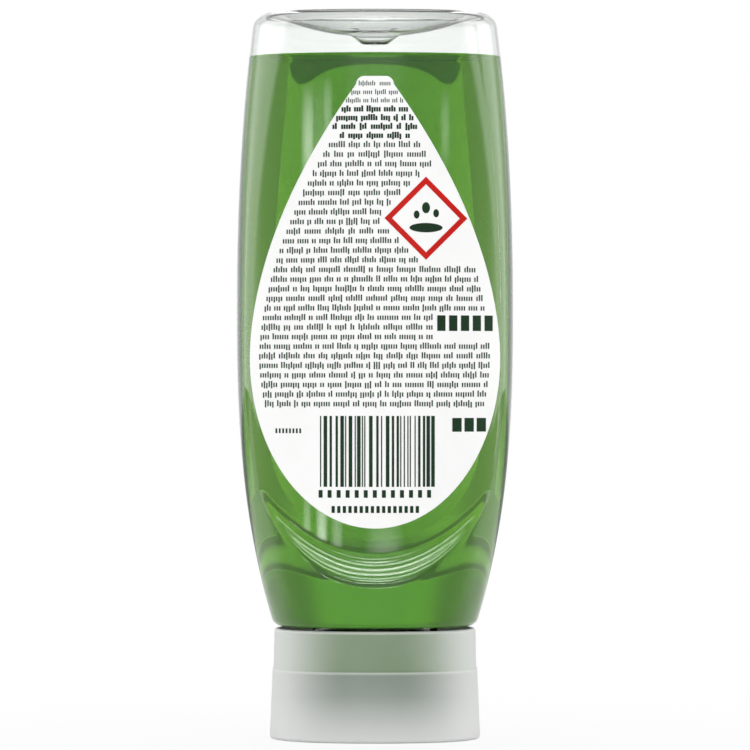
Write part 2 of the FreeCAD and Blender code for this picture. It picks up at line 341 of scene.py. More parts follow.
class LabelLook(bpy.types.PropertyGroup):
    """Film labels and what is printed on them."""

    film: bpy.props.FloatVectorProperty(
        name="Film", description="Colour of the film", subtype="COLOR", size=3,
        min=0, max=1, default=(0.97, 0.97, 0.965))
    glow: bpy.props.FloatProperty(
        name="Film glow", description="Share of light that the films let through to the soap",
        min=0, max=1, default=0.96)
    ink: bpy.props.FloatVectorProperty(
        name="Ink", description="Colour of the small print", subtype="COLOR", size=3,
        min=0, max=1, default=(0.012, 0.04, 0.016))
    accent: bpy.props.FloatVectorProperty(
        name="Accent", description="Colour of the framed mark", subtype="COLOR", size=3,
        min=0, max=1, default=(0.58, 0.008, 0.004))
    field: bpy.props.FloatVectorProperty(
        name="Field", description="Colour of the front label's fields", subtype="COLOR", size=3,
        min=0, max=1, default=(0.1, 0.33, 0.04))
    band: bpy.props.FloatVectorProperty(
        name="Band", description="Colour that the front label's top band lets through",
        subtype="COLOR", size=3, min=0, max=1, default=(0.56, 0.64, 0.6))
    relief: bpy.props.FloatProperty(
        name="Ink relief", description="How thick the ink lies on the film",
        subtype="DISTANCE", unit="LENGTH", min=0.00001, default=0.00005)


class ClosureLook(bpy.types.PropertyGroup):
    """Translucent closure, and the pieces inside and under it."""

    colour: bpy.props.FloatVectorProperty(
        name="Closure", description="Colour of the translucent moulding", subtype="COLOR", size=3,
        min=0, max=1, default=(0.9, 0.91, 0.9))
    # Painted shade: the darker green that stands in for the soap in the neck seen through the
    # moulding
    neck_shade_tint: bpy.props.FloatVectorProperty(
        name="Neck tint", description="Colour of the moulding where the soap in the neck shows",
        subtype="COLOR", size=3, min=0, max=1, default=(0.25, 0.36, 0.21))
    # Painted shade: the darker grey-green over the socket, where the closure's inside lies in shade
    skirt_shade_tint: bpy.props.FloatVectorProperty(
        name="Skirt tint", description="Colour of the moulding over the socket under the seam",
        subtype="COLOR", size=3, min=0, max=1, default=(0.29, 0.35, 0.29))
    clearness: bpy.props.FloatProperty(
        name="Clearness", description="Share of light that the closure lets through",
        min=0, max=1, default=0.25)
    silicone: bpy.props.FloatVectorProperty(
        name="Silicone", description="Colour of the valve", subtype="COLOR", size=3,
        min=0, max=1, default=(0.8, 0.82, 0.8))
    white: bpy.props.FloatVectorProperty(
        name="White moulding", description="Colour of the retainer and the housing",
        subtype="COLOR", size=3, min=0, max=1, default=(0.86, 0.86, 0.85))
    seal: bpy.props.FloatVectorProperty(
        name="Seal", description="Colour of the peel-off film", subtype="COLOR", size=3,
        min=0, max=1, default=(0.72, 0.75, 0.78))


class StageLook(bpy.types.PropertyGroup):
    """Floor, light and camera."""

    floor: bpy.props.FloatVectorProperty(
        name="Floor", description="Colour of the floor", subtype="COLOR", size=3,
        min=0, max=1, default=(0.9, 0.9, 0.9))
    floor_shades: bpy.props.FloatVectorProperty(
        name="Floor shades", description="How pale the floor shows in gloss and glass, front to back",
        size=6, min=0, max=1, default=(0.3, 0.85, 0.85, 0.28, 0.28, 0.9))
    daylight: bpy.props.FloatProperty(
        name="Surround", description="Strength of the white surround", min=0, default=1.05)
    front_shade: bpy.props.FloatProperty(
        name="Front shade", description="Strength that the surround's front side shows in gloss",
        min=0, default=0.12)
    side_shade: bpy.props.FloatProperty(
        name="Side shade", description="Strength that the surround's sides show through glass",
        min=0, default=0.55)
    upper_shade: bpy.props.FloatProperty(
        name="Upper shade", description="Strength that the surround's upper part shows through glass",
        min=0, default=0.78)
    side_gleam: bpy.props.FloatProperty(
        name="Side gleam", description="Strength that the surround's sides show in gloss",
        min=0, default=3.2)
    softbox: bpy.props.FloatProperty(
        name="Softboxes", description="Strength of the softboxes", min=0, default=6.0)
    camera_distance: bpy.props.FloatProperty(
        name="Camera distance", description="From the camera to the bottle's axis",
        subtype="DISTANCE", unit="LENGTH", min=0.3, default=1.45)
    camera_height: bpy.props.FloatProperty(
        name="Camera height", description="Height of the level camera",
        subtype="DISTANCE", unit="LENGTH", min=0, default=0.1017)
    lens: bpy.props.FloatProperty(
        name="Lens", description="Focal length in millimetres", min=10, default=248.0)


class SoapBottleSettings(bpy.types.PropertyGroup):
    """All settings of the soap bottle."""

    bottle: bpy.props.PointerProperty(type=BottleLook)
    soap: bpy.props.PointerProperty(type=SoapLook)
    label: bpy.props.PointerProperty(type=LabelLook)
    closure: bpy.props.PointerProperty(type=ClosureLook)
    stage: bpy.props.PointerProperty(type=StageLook)


def settings():
    """The scene's soap bottle settings."""
    return bpy.context.scene.soap_bottle


def soft_least(a, b, width):
    """The lesser of two values, rounded where they are close."""
    share = min(max(0.5 + 0.5 * (b - a) / width, 0), 1)
    return b + (a - b) * share - width * share * (1 - share)


def soft_most(a, b, width):
    """The greater of two values, rounded where they are close."""
    return -soft_least(-a, -b, width)


def eased(share):
    """A share held between 0 and 1, with soft ends."""
    held = min(max(share, 0), 1)
    return held * held * (3 - 2 * held)


def spaced(start, end, steps):
    """Evenly spaced values, both ends among them."""
    return [start + (end - start) * index / steps for index in range(steps + 1)]


def make_object(name, points, faces, smooth=True):
    """Mesh object through points given in millimetres."""
    mesh = bpy.data.meshes.new(name)
    mesh.from_pydata([Vector(point) * MM for point in points], [], faces)
    mesh.polygons.foreach_set("use_smooth", [smooth] * len(mesh.polygons))
    mesh.update()
    item = bpy.data.objects.new(name, mesh)
    bpy.context.scene.collection.objects.link(item)
    return item


# Shape of the bottle


def half_size(height, side):
    """Half width (side 0) or half depth (side 1) of the body at one height."""
    belly = BELLY_SIZE[side]
    if height <= BELLY_HEIGHT:
        share = (BELLY_HEIGHT - height) / (BELLY_HEIGHT - FOOT_HEIGHT)
        return (belly - (belly - FOOT_SIZE[side]) * share ** FOOT_POWERS[side]) / 2
    share = (height - BELLY_HEIGHT) / (BOTTLE_TOP - BELLY_HEIGHT)
    return (belly - (belly - BASE_SIZE[side]) * share ** BASE_POWER) / 2


def panel_depth(x, height, inset=0.0):
    """Distance of a label panel from the bottle's middle plane."""
    low, high = PANEL_HALF_DEPTHS
    lean = (high - low) / (BOTTLE_TOP - STEP_HEIGHT)
    centre = low + lean * (height - STEP_HEIGHT) - PANEL_RADIUS
    return centre + math.sqrt((PANEL_RADIUS - inset) ** 2 - x * x)


def panel_limit(x, height, inset):
    """Depth that the panel and its slanted step leave the body at one place."""
    step = PANEL_HALF_DEPTHS[0] - inset / STEP_COSINE + STEP_SLOPE * (STEP_HEIGHT - height)
    softness = settings().bottle.edge_softness / MM
    return soft_most(panel_depth(x, height, inset), step, softness)


def oval_point(half_width, half_depth, angle, squareness=SQUARENESS):
    """Point of the first quarter of a squared oval."""
    power = 2 / squareness
    x = half_width * max(math.cos(angle), 0) ** power
    y = half_depth * max(math.sin(angle), 0) ** power
    return x, y


def crease_angle(half_width, half_depth, height, inset):
    """Angle at which the side of the body passes into a panel."""
    low = 0.0
    high = math.pi / 2
    for _ in range(CREASE_STEPS):
        middle = (low + high) / 2
        x, y = oval_point(half_width, half_depth, middle)
        if y < panel_limit(x, height, inset):
            low = middle
        else:
            high = middle
    return min(max(low, CREASE_LIMITS[0]), CREASE_LIMITS[1])


def quarter_angles(crease):
    """Angles of a quarter of a ring, gathered at the crease."""
    angles = []
    for index in range(SIDE_POINTS):
        share = 1 - (1 - index / SIDE_POINTS) ** GATHERING
        angles.append(crease * share)
    for index in range(PANEL_POINTS + 1):
        share = (index / PANEL_POINTS) ** GATHERING
        angles.append(crease + (math.pi / 2 - crease) * share)
    return angles


def whole_ring(quarter, height):
    """All four quarters of a ring, anticlockwise from +X."""
    back = quarter[::-1]
    ring = [(x, y, height) for x, y in quarter[:-1]]
    ring += [(-x, y, height) for x, y in back[:-1]]
    ring += [(-x, -y, height) for x, y in quarter[:-1]]
    ring += [(x, -y, height) for x, y in back[:-1]]
    return ring


def body_ring(drawn_in, height, inset, level=None):
    """Ring of a skin: the oval drawn in by an edge's rounding, cut by both panels."""
    half_width = half_size(height, 0) - inset - drawn_in
    half_depth = half_size(height, 1) - inset - drawn_in
    crease = crease_angle(half_width, half_depth, height, inset)
    softness = settings().bottle.edge_softness / MM
    quarter = []
    for angle in quarter_angles(crease):
        x, y = oval_point(half_width, half_depth, angle)
        quarter.append((x, soft_least(y, panel_limit(x, height, inset), softness)))
    return whole_ring(quarter, height if level is None else level)


def round_ring(radius, height, lug=False):
    """Ring of the neck, with the two locating lugs where asked."""
    quarter = []
    for angle in quarter_angles(CREASE_LIMITS[1]):
        reach = radius
        if lug and radius * math.sin(angle) < LUG_HALF_WIDTH:
            reach += LUG_REACH
        quarter.append((reach * math.cos(angle), reach * math.sin(angle)))
    return whole_ring(quarter, height)


def mixed_row(first, second, share):
    """Row of points between two others."""
    mixed = []
    for a, b in zip(first, second):
        mixed.append(tuple(p + (q - p) * share for p, q in zip(a, b)))
    return mixed


def side_heights(low, high):
    """Heights of the side's rings, closest together at the slanted step."""
    heights = [low]
    for end, pitch in SIDE_ZONES:
        while heights[-1] + pitch < min(end, high):
            heights.append(heights[-1] + pitch)
    heights.append(high)
    return heights


def shoulder_rings(inset):
    """Rings that round the foot of a skin off, from its flat to its side."""
    radius = SHOULDER_RADIUS - inset
    rings = []
    for angle in spaced(0, math.pi / 2, EDGE_STEPS):
        height = FOOT_HEIGHT + inset + radius * (1 - math.cos(angle))
        rings.append(body_ring(radius * (1 - math.sin(angle)), height, inset))
    return rings


def rim_rings(inset):
    """Rings that round the top of a skin off, from its side to its flat."""
    radius = RIM_RADIUS - inset
    rings = []
    for angle in spaced(0, math.pi / 2, EDGE_STEPS):
        height = BOTTLE_TOP - inset - radius * (1 - math.sin(angle))
        rings.append(body_ring(radius * (1 - math.cos(angle)), height, inset))
    return rings


def dimple_rings(inset):
    """Rings of the pushed-in base, from its edge to the middle of the nub."""
    top = BOTTLE_TOP - inset
    flat = BASE_SIZE[1] / BASE_SIZE[0]
    nub_share = NUB_FOOT / DIMPLE_HALF_WIDTH
    shares = spaced(DIMPLE_EDGE, nub_share, DIMPLE_STEPS)
    shares += spaced(nub_share, NUB_MIDDLE, NUB_STEPS)[1:]
    rings = []
    for share in shares:
        half_width = DIMPLE_HALF_WIDTH * share
        roundness = eased((2 * NUB_FOOT - half_width) / NUB_FOOT)
        half_depth = half_width * (flat + (1 - flat) * roundness)
        squareness = SQUARENESS + (2 - SQUARENESS) * roundness
        drop = soft_most(DIMPLE_DEPTH * (1 - share ** DIMPLE_POWER), 0, DIMPLE_SOFTNESS)
        drop += NUB_DEPTH * eased((NUB_FOOT - half_width) / (NUB_FOOT - NUB_TIP))
        quarter = [oval_point(half_width, half_depth, angle, squareness)
                   for angle in quarter_angles(CREASE_LIMITS[1])]
        rings.append(whole_ring(quarter, top - drop))
    return rings


def skin_rings(inset):
    """Rings of a skin of the body, from the flat of its foot to the nub."""
    low = FOOT_HEIGHT + SHOULDER_RADIUS
    high = BOTTLE_TOP - RIM_RADIUS
    sides = [body_ring(0, height, inset) for height in side_heights(low, high)]
    return shoulder_rings(inset)[:-1] + sides + rim_rings(inset)[1:] + dimple_rings(inset)


def neck_rings():
    """Rings of the neck's outside, from its lip to the flat of the foot."""
    flank = 1.5 * BEAD_SIZE
    crest = 0.5 * BEAD_SIZE
    lug_foot = FOOT_HEIGHT - LUG_LENGTH
    return [
        round_ring(NECK_RADIUS - LIP_EDGE, NECK_LIP),
        round_ring(NECK_RADIUS, NECK_LIP + LIP_EDGE),
        round_ring(NECK_RADIUS, BEAD_HEIGHT - flank),
        round_ring(NECK_RADIUS + BEAD_SIZE, BEAD_HEIGHT - crest),
        round_ring(NECK_RADIUS + BEAD_SIZE, BEAD_HEIGHT + crest),
        round_ring(NECK_RADIUS, BEAD_HEIGHT + flank),
        round_ring(NECK_RADIUS, lug_foot),
        round_ring(NECK_RADIUS, lug_foot, True),
        round_ring(NECK_RADIUS, FOOT_HEIGHT - LUG_GAP, True),
        round_ring(NECK_RADIUS, FOOT_HEIGHT),
    ]


def join_rings(name, rings, closed=False):
    """Object whose skin runs through rings; its ends are drawn shut, or joined if closed."""
    count = len(rings[0])
    points = [point for ring in rings for point in ring]
    faces = []
    for row in range(len(rings) - 1):
        for index in range(count):
            after = (index + 1) % count
            low = row * count
            high = low + count
            faces.append((low + index, low + after, high + after, high + index))
    last = (len(rings) - 1) * count
    if closed:
        for index in range(count):
            after = (index + 1) % count
            faces.append((last + index, last + after, after, index))
    else:
        faces.append(tuple(range(count))[::-1])
        faces.append(tuple(range(last, last + count)))
    return make_object(name, points, faces)


# Materials


def new_material(name, colour, roughness, **sockets):
    """Principled material; sockets are named by their words joined with underscores."""
    material = bpy.data.materials.new(name)
    material.use_nodes = True
    shader = material.node_tree.nodes["Principled BSDF"]
    shader.inputs["Base Color"].default_value = (*colour, 1)
    shader.inputs["Roughness"].default_value = roughness
    for words, value in sockets.items():
        shader.inputs[words.replace("_", " ")].default_value = value
    return material, shader


def add_noise(material, scale, detail=3.0, stretch=(1, 1, 1)):
    """Noise over the object's own coordinates; scale is in features per metre."""
    nodes = material.node_tree.nodes
    links = material.node_tree.links
    place = nodes.new("ShaderNodeTexCoord")
    mapping = nodes.new("ShaderNodeMapping")
    mapping.inputs["Scale"].default_value = stretch
    noise = nodes.new("ShaderNodeTexNoise")
    noise.inputs["Scale"].default_value = scale
    noise.inputs["Detail"].default_value = detail
    links.new(place.outputs["Object"], mapping.inputs["Vector"])
    links.new(mapping.outputs["Vector"], noise.inputs["Vector"])
    return noise.outputs["Fac"]


def add_bump(material, shader, height, strength, distance):
    """Small relief on a shader, from a grey value."""
    bump = material.node_tree.nodes.new("ShaderNodeBump")
    bump.inputs["Strength"].default_value = strength
    bump.inputs["Distance"].default_value = distance
    material.node_tree.links.new(height, bump.inputs["Height"])
    material.node_tree.links.new(bump.outputs["Normal"], shader.inputs["Normal"])


def shade_colour(material, shader, value, dark, light, low=0.35, high=0.65):
    """Base colour that runs between two colours with a grey value."""
    ramp = material.node_tree.nodes.new("ShaderNodeValToRGB")
    ramp.color_ramp.elements[0].position = low
    ramp.color_ramp.elements[0].color = (*dark, 1)
    ramp.color_ramp.elements[1].position = high
    ramp.color_ramp.elements[1].color = (*light, 1)
    material.node_tree.links.new(value, ramp.inputs["Fac"])
    material.node_tree.links.new(ramp.outputs["Color"], shader.inputs["Base Color"])


def shade_roughness(material, shader, value, low, high):
    """Roughness that runs between two levels with a grey value."""
    spread = material.node_tree.nodes.new("ShaderNodeMapRange")
    spread.inputs["To Min"].default_value = low
    spread.inputs["To Max"].default_value = high
    material.node_tree.links.new(value, spread.inputs["Value"])
    material.node_tree.links.new(spread.outputs["Result"], shader.inputs["Roughness"])


def scaled(colour, factor):
    """A colour made darker or lighter."""
    return tuple(min(part * factor, 1) for part in colour)


def mottled(name, colour, finish, **sockets):
    """Satin material with a fine grain in colour, gloss and relief."""
    roughness, scale, relief, spread = finish
    material, shader = new_material(name, colour, roughness, **sockets)
    broad = add_noise(material, scale=scale / BROAD_GRAIN, detail=4)
    fine = add_noise(material, scale=scale, detail=5)
    shade_colour(material, shader, broad, scaled(colour, 1 - spread), scaled(colour, 1 + spread))
    low, high = roughness * (1 - GRAIN_SPREAD), roughness * (1 + GRAIN_SPREAD)
    shade_roughness(material, shader, fine, low, high)
    add_bump(material, shader, fine, GRAIN_STRENGTH, relief)
    return material


def let_light_through(material, side, colour, share):
    """Lets what is behind a label shine through to the soap, while its outer face stays solid.

    The side is -1 for a label that faces -Y and 1 for one that faces +Y. Only the faces that
    look inward let light through, tinted with the colour.
    """
    tree = material.node_tree
    shape = tree.nodes.new("ShaderNodeNewGeometry")
    parts = tree.nodes.new("ShaderNodeSeparateXYZ")
    tree.links.new(shape.outputs["True Normal"], parts.inputs["Vector"])
    edges = [-side * edge for edge in FACING_EDGES]
    inward = add_share(tree, parts.outputs["Y"], edges, (0, share))
    through = tree.nodes.new("ShaderNodeBsdfTranslucent")
    through.inputs["Color"].default_value = (*colour, 1)
    mix = tree.nodes.new("ShaderNodeMixShader")
    tree.links.new(inward, mix.inputs["Fac"])
    tree.links.new(tree.nodes["Principled BSDF"].outputs["BSDF"], mix.inputs[1])
    tree.links.new(through.outputs["BSDF"], mix.inputs[2])
    tree.links.new(mix.outputs["Shader"], tree.nodes["Material Output"].inputs["Surface"])


def add_ramp(tree, value, stops):
    """Colour that follows a grey value through stops, each a place and a colour."""
    ramp = tree.nodes.new("ShaderNodeValToRGB")
    steps = ramp.color_ramp.elements
    while len(steps) < len(stops):
        steps.new(0.5)
    for step, (place, colour) in zip(steps, stops):
        step.position = place
        step.color = (*colour, 1)
    tree.links.new(value, ramp.inputs["Fac"])
    return ramp.outputs["Color"]


def add_share(tree, value, places, levels, passing="SMOOTHSTEP"):
    """Value that passes from a first to a last level between two places."""
    share = tree.nodes.new("ShaderNodeMapRange")
    share.interpolation_type = passing
    for name, number in zip(("From Min", "From Max", "To Min", "To Max"), (*places, *levels)):
        share.inputs[name].default_value = number
    tree.links.new(value, share.inputs["Value"])
    return share.outputs["Result"]


def add_math(tree, operation, first, second=None):
    """Value worked out from one or two others."""
    node = tree.nodes.new("ShaderNodeMath")
    node.operation = operation
    for index, value in enumerate((first, second)):
        if isinstance(value, (int, float)):
            node.inputs[index].default_value = value
        elif value is not None:
            tree.links.new(value, node.inputs[index])
    return node.outputs[0]


def add_mix(tree, amount, first, second):
    """Colour between two others, each a colour or a socket."""
    mix = tree.nodes.new("ShaderNodeMix")
    mix.data_type = "RGBA"
    tree.links.new(amount, mix.inputs["Factor"])
    for name, colour in (("A_Color", first), ("B_Color", second)):
        socket = next(item for item in mix.inputs if item.identifier == name)
        if isinstance(colour, bpy.types.NodeSocket):
            tree.links.new(colour, socket)
        else:
            socket.default_value = (*colour, 1)
    return next(item for item in mix.outputs if item.identifier == "Result_Color")


def greys(levels):
    """Grey colours of several levels."""
    return [(level, level, level) for level in levels]


def frosted_plastic():
    """Translucent moulding with painted shade, darker and greener over the neck where the soap and
    the parts inside show through, and painted highlights on the rims of its tiers.
    """
    look = settings().closure
    material, shader = new_material(
        "frosted plastic", look.colour, sum(MOULDING_ROUGHNESS) / 2,
        Transmission_Weight=look.clearness, IOR=MOULDING_REFRACTION)
    tree = material.node_tree
    place = tree.nodes.new("ShaderNodeTexCoord")
    parts = tree.nodes.new("ShaderNodeSeparateXYZ")
    tree.links.new(place.outputs["Object"], parts.inputs["Vector"])
    aside = add_math(tree, "ABSOLUTE", parts.outputs["X"])
    # Painted shade, strongest over the middle of the neck and fading towards the sides
    over_neck = add_share(tree, aside, NECK_SHADE_EDGES, (1, NECK_SHADE_LEAST))
    rise = add_math(tree, "DIVIDE", parts.outputs["Z"], CLOSURE_TOP * MM)
    depth = add_ramp(tree, rise, list(zip(NECK_SHADE_PLACES, greys(NECK_SHADE_LEVELS))))
    # Painted shade tints: grey-green below the seam, darker green over the neck above it
    shade_tints = [(SEAM_SHARE - SEAM_BLUR, look.skirt_shade_tint), (SEAM_SHARE, look.neck_shade_tint)]
    tint = add_ramp(tree, rise, shade_tints)
    cloud = add_noise(material, scale=CLOUD_SCALE, detail=2)
    uneven = add_share(tree, cloud, CLOUD_EDGES, (CLOUD_LEAST, 1))
    amount = add_math(tree, "MULTIPLY", over_neck, depth)
    amount = add_math(tree, "MULTIPLY", amount, uneven)
    body = add_mix(tree, amount, look.colour, tint)
    # Painted highlight along the seam and the top rim
    rim = add_ramp(tree, rise, list(zip(RIM_HIGHLIGHT_PLACES, greys(RIM_HIGHLIGHT_LEVELS))))
    highlighted = add_mix(tree, rim, body, scaled(look.colour, RIM_HIGHLIGHT_LIFT))
    tree.links.new(highlighted, shader.inputs["Base Color"])
    fine = add_noise(material, scale=MOULDING_GRAIN, detail=5)
    shade_roughness(material, shader, fine, *MOULDING_ROUGHNESS)
    add_bump(material, shader, fine, GRAIN_STRENGTH, MOULDING_RELIEF)
    return material


def dress(item, material):
    """Gives an object one material."""
    item.data.materials.clear()
    item.data.materials.append(material)


def clear_plastic():
    """Clear blown plastic with a slight waviness in its wall."""
    look = settings().bottle
    material, shader = new_material(
        "clear plastic", look.tint, look.gloss, Transmission_Weight=1.0, IOR=look.refraction)
    waves = add_noise(material, scale=WAVE_SCALE, detail=1, stretch=WAVE_STRETCH)
    fine = add_noise(material, scale=SKIN_GRAIN, detail=4)
    low, high = look.gloss * (1 - SKIN_SPREAD), look.gloss * (1 + SKIN_SPREAD)
    shade_roughness(material, shader, fine, low, high)
    add_bump(material, shader, waves, look.waviness, WAVE_DEPTH)
    return material


def green_soap():
    """Clear green soap, coloured by its depth."""
    look = settings().soap
    material, shader = new_material(
        "green soap", (1, 1, 1), 0.0, Transmission_Weight=1.0, IOR=look.refraction)
    nodes = material.node_tree.nodes
    absorption = nodes.new("ShaderNodeVolumeAbsorption")
    absorption.inputs["Color"].default_value = (*look.colour, 1)
    absorption.inputs["Density"].default_value = look.density
    output = nodes["Material Output"]
    material.node_tree.links.new(absorption.outputs["Volume"], output.inputs["Volume"])
    return material


# Print on the labels


class PrintSheet:
    """Gathers inked shapes that lie on one label, then makes them one object."""

    def __init__(self, side, over=0.0):
        self.side = side
        self.over = over
        self.points = []
        self.faces = []

    def place(self, x, z, lift):
        """Point over the label's face, or in its film where the lift is negative."""
        depth = panel_depth(x, z, -LABEL_THICKNESS - lift)
        return (x, self.side * depth, z)

    def ribbon(self, first, second):
        """Thin closed shape between two edges, each a row of x and z."""
        relief = settings().label.relief / MM + self.over
        start = len(self.points)
        count = len(first)
        for x, z in first + second:
            self.points.append(self.place(x, z, relief))
        for x, z in first + second:
            self.points.append(self.place(x, z, -LABEL_THICKNESS / 2))
        under = 2 * count
        quads = []
        for index in range(count - 1):
            a, b, c, d = index, index + 1, count + index + 1, count + index
            quads.append((a, b, c, d))
            quads.append((under + d, under + c, under + b, under + a))
            quads.append((b, a, under + a, under + b))
            quads.append((d, c, under + c, under + d))
        end = count - 1
        quads.append((0, count, under + count, under))
        quads.append((count + end, end, under + end, under + count + end))
        for quad in quads:
            face = tuple(start + index for index in quad)
            self.faces.append(face if self.side < 0 else face[::-1])

    def bar(self, left, right, low, high):
        """Upright rectangle."""
        steps = max(1, math.ceil((right - left) / BAR_STEP))
        across = spaced(left, right, steps)
        self.ribbon([(x, low) for x in across], [(x, high) for x in across])

    def finish(self, name, material):
        """Object of all that was gathered."""
        item = make_object(name, self.points, self.faces, False)
        dress(item, material)
        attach(item, "bottle_unit")
        return item


def label_half_width(outline, height):
    """Half width of a label at one height."""
    bottom, widest, shoulder, half, half_top, power = outline
    if height < widest:
        drop = (widest - height) / (widest - bottom)
        return half * math.sqrt(max(1 - drop ** 2, 0))
    rise = (height - widest) / (shoulder - widest)
    return half - (half - half_top) * min(rise, 1) ** power


def word_row(sheet, chance, left, right, base, size, weight):
    """Row of plain blocks in word-like groups that fills a width."""
    pitch = size * LETTER_PITCH
    groups = []
    used = 0.0
    while used < right - left - 2 * pitch:
        letters = chance.randint(*WORD_LENGTHS)
        letters = min(letters, int((right - left - used) / pitch))
        groups.append(letters)
        used += (letters + 1) * pitch
    if not groups:
        return
    slack = (right - left - sum(groups) * pitch) / max(len(groups) - 1, 1)
    slack = min(slack, WIDEST_SLACK * pitch)
    x = left
    for letters in groups:
        for _ in range(letters):
            rise = chance.choice(LETTER_RISES)
            drop = chance.choice(LETTER_DROPS)
            sheet.bar(x, x + pitch * weight, base - drop * size, base + rise * size)
            x += pitch
        x += slack


def mark_reach(height, centre, half_diagonal):
    """Half width of the framed mark at one height, or None beyond it."""
    rest = half_diagonal - abs(height - centre)
    return rest if rest > 0 else None


def print_rows(sheet, chance):
    """Small print of the back label."""
    for height, width in TINY_ROWS:
        word_row(sheet, chance, -width / 2, width / 2, height, TINY_SIZE, TINY_WEIGHT)
    for height, width in BOLD_ROWS:
        word_row(sheet, chance, -width / 2, width / 2, height, TEXT_SIZE, BOLD_WEIGHT)
    height = FIRST_ROW
    while height > LAST_ROW:
        low = label_half_width(BACK_OUTLINE, height - ROW_BELOW)
        half = min(low, label_half_width(BACK_OUTLINE, height + ROW_ABOVE)) - SIDE_MARGIN
        right = half
        reach = mark_reach(height + ROW_MIDDLE, MARK_Z, MARK_HALF + MARK_CLEARANCE)
        if reach is not None:
            right = min(half, MARK_X - reach)
        if BLOCK_ZONE[0] < height < BLOCK_ZONE[1]:
            right = min(half, BLOCK_LEFT)
        word_row(sheet, chance, -half, right, height, TEXT_SIZE, TEXT_WEIGHT)
        height -= ROW_PITCH


def print_bars(sheet, chance):
    """Upright bars in the manner of a shop code."""
    x = BARS_LEFT
    while x < BARS_RIGHT:
        width = chance.choice(BAR_WIDTHS)
        sheet.bar(x, x + width, *BARS_ZONE)
        x += width + chance.choice(BAR_GAPS)


def print_blocks(sheet):
    """Rows of plain blocks round the bars and beside the text."""
    for count, start, pitch, width, low, high in BLOCK_ROWS:
        for index in range(count):
            left = start + pitch * index
            sheet.bar(left, left + width, low, high)


def diamond(half):
    """Corners of a square on its corner, round the mark's centre."""
    return [(MARK_X, MARK_Z - half), (MARK_X + half, MARK_Z),
            (MARK_X, MARK_Z + half), (MARK_X - half, MARK_Z)]


def between(a, b, steps):
    """Points along a straight line."""
    return [(a[0] + (b[0] - a[0]) * share, a[1] + (b[1] - a[1]) * share)
            for share in spaced(0, 1, steps)]


def print_mark_frame(sheet):
    """Red frame: a square on its corner."""
    outer = diamond(MARK_HALF)
    inner = diamond(MARK_HALF - MARK_BORDER * math.sqrt(2))
    for index in range(len(outer)):
        after = (index + 1) % len(outer)
        rim = between(outer[index], outer[after], FRAME_STEPS)
        sheet.ribbon(rim, between(inner[index], inner[after], FRAME_STEPS))


def drop_shape(x, z, size):
    """Left and right edge of an upright drop."""
    left = []
    right = []
    for share in spaced(0, 1, DROP_STEPS):
        half = DROP_FULLNESS * size * share ** DROP_TAPER * math.sqrt(1 - share)
        height = z + DROP_HALF_HEIGHT * size * (1 - 2 * share)
        left.append((x - half, height))
        right.append((x + half, height))
    return left, right


def ellipse(x, z, half_width, half_height, steps=MARK_STEPS):
    """Lower and upper edge of an ellipse."""
    lower = []
    upper = []
    for angle in spaced(math.pi, 0, steps):
        lower.append((x + half_width * math.cos(angle), z - half_height * math.sin(angle)))
        upper.append((x + half_width * math.cos(angle), z + half_height * math.sin(angle)))
    return lower, upper


def print_mark_motif(sheet):
    """Plain motif in the frame: a plate and drops over it."""
    sheet.ribbon(*ellipse(MARK_X, MARK_Z + MARK_PLATE_LEVEL, *MARK_PLATE_SIZE))
    for x, z, size in MARK_DROPS:
        sheet.ribbon(*ellipse(MARK_X + x, MARK_Z + z, size, MARK_DROP_RISE * size))


def lay_front_cap_band(sheet):
    """Dark band along the front label's top, with a lobe at either end."""
    lower = [(-x, z) for x, z in CAP_LOWER_EDGE[:0:-1]] + list(CAP_LOWER_EDGE)
    upper = [(x, CAP_TOP - max(abs(x) - CAP_LEVEL_HALF, 0)) for x, z in lower]
    sheet.ribbon(lower, upper)


def print_front_field(sheet):
    """Oval field of colour in the middle of the front label."""
    sheet.ribbon(*ellipse(0, FIELD_HEIGHT, FIELD_HALF_WIDTH, FIELD_HALF_HEIGHT, FIELD_STEPS))


def print_front_motif(sheet):
    """Drops on the front label's field, in upright strips that follow its curve."""
    for x, z, size in FRONT_DROPS:
        left, right = drop_shape(x, z, size)
        edges = [mixed_row(left, right, share) for share in spaced(0, 1, DROP_STRIPS)]
        for first, second in zip(edges, edges[1:]):
            sheet.ribbon(first, second)


# Operators


class SOAPBOTTLE_OT_bottle(bpy.types.Operator):
    """Makes the clear blown bottle with its wall, panels, steps, base and neck"""

    bl_idname = "soapbottle.bottle"
    bl_label = "Bottle"

    def execute(self, context):
        outer = skin_rings(FILM_GAP)
        inner = skin_rings(BODY_WALL)
        neck = neck_rings()
        foot = [mixed_row(neck[-1], outer[0], share) for share in spaced(0, 1, FLAT_STEPS)[1:-1]]
        bore_top = round_ring(NECK_BORE, FOOT_HEIGHT + BODY_WALL)
        floor = [mixed_row(bore_top, inner[0], share) for share in spaced(0, 1, FLAT_STEPS)[1:-1]]
        bore = [round_ring(NECK_BORE, NECK_LIP), bore_top]
        rings = neck + foot + outer + (bore + floor + inner)[::-1]
        item = join_rings("clear_bottle", rings, True)
        dress(item, clear_plastic())
        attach(item, "bottle_unit")
        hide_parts("bottle")
        return {"FINISHED"}


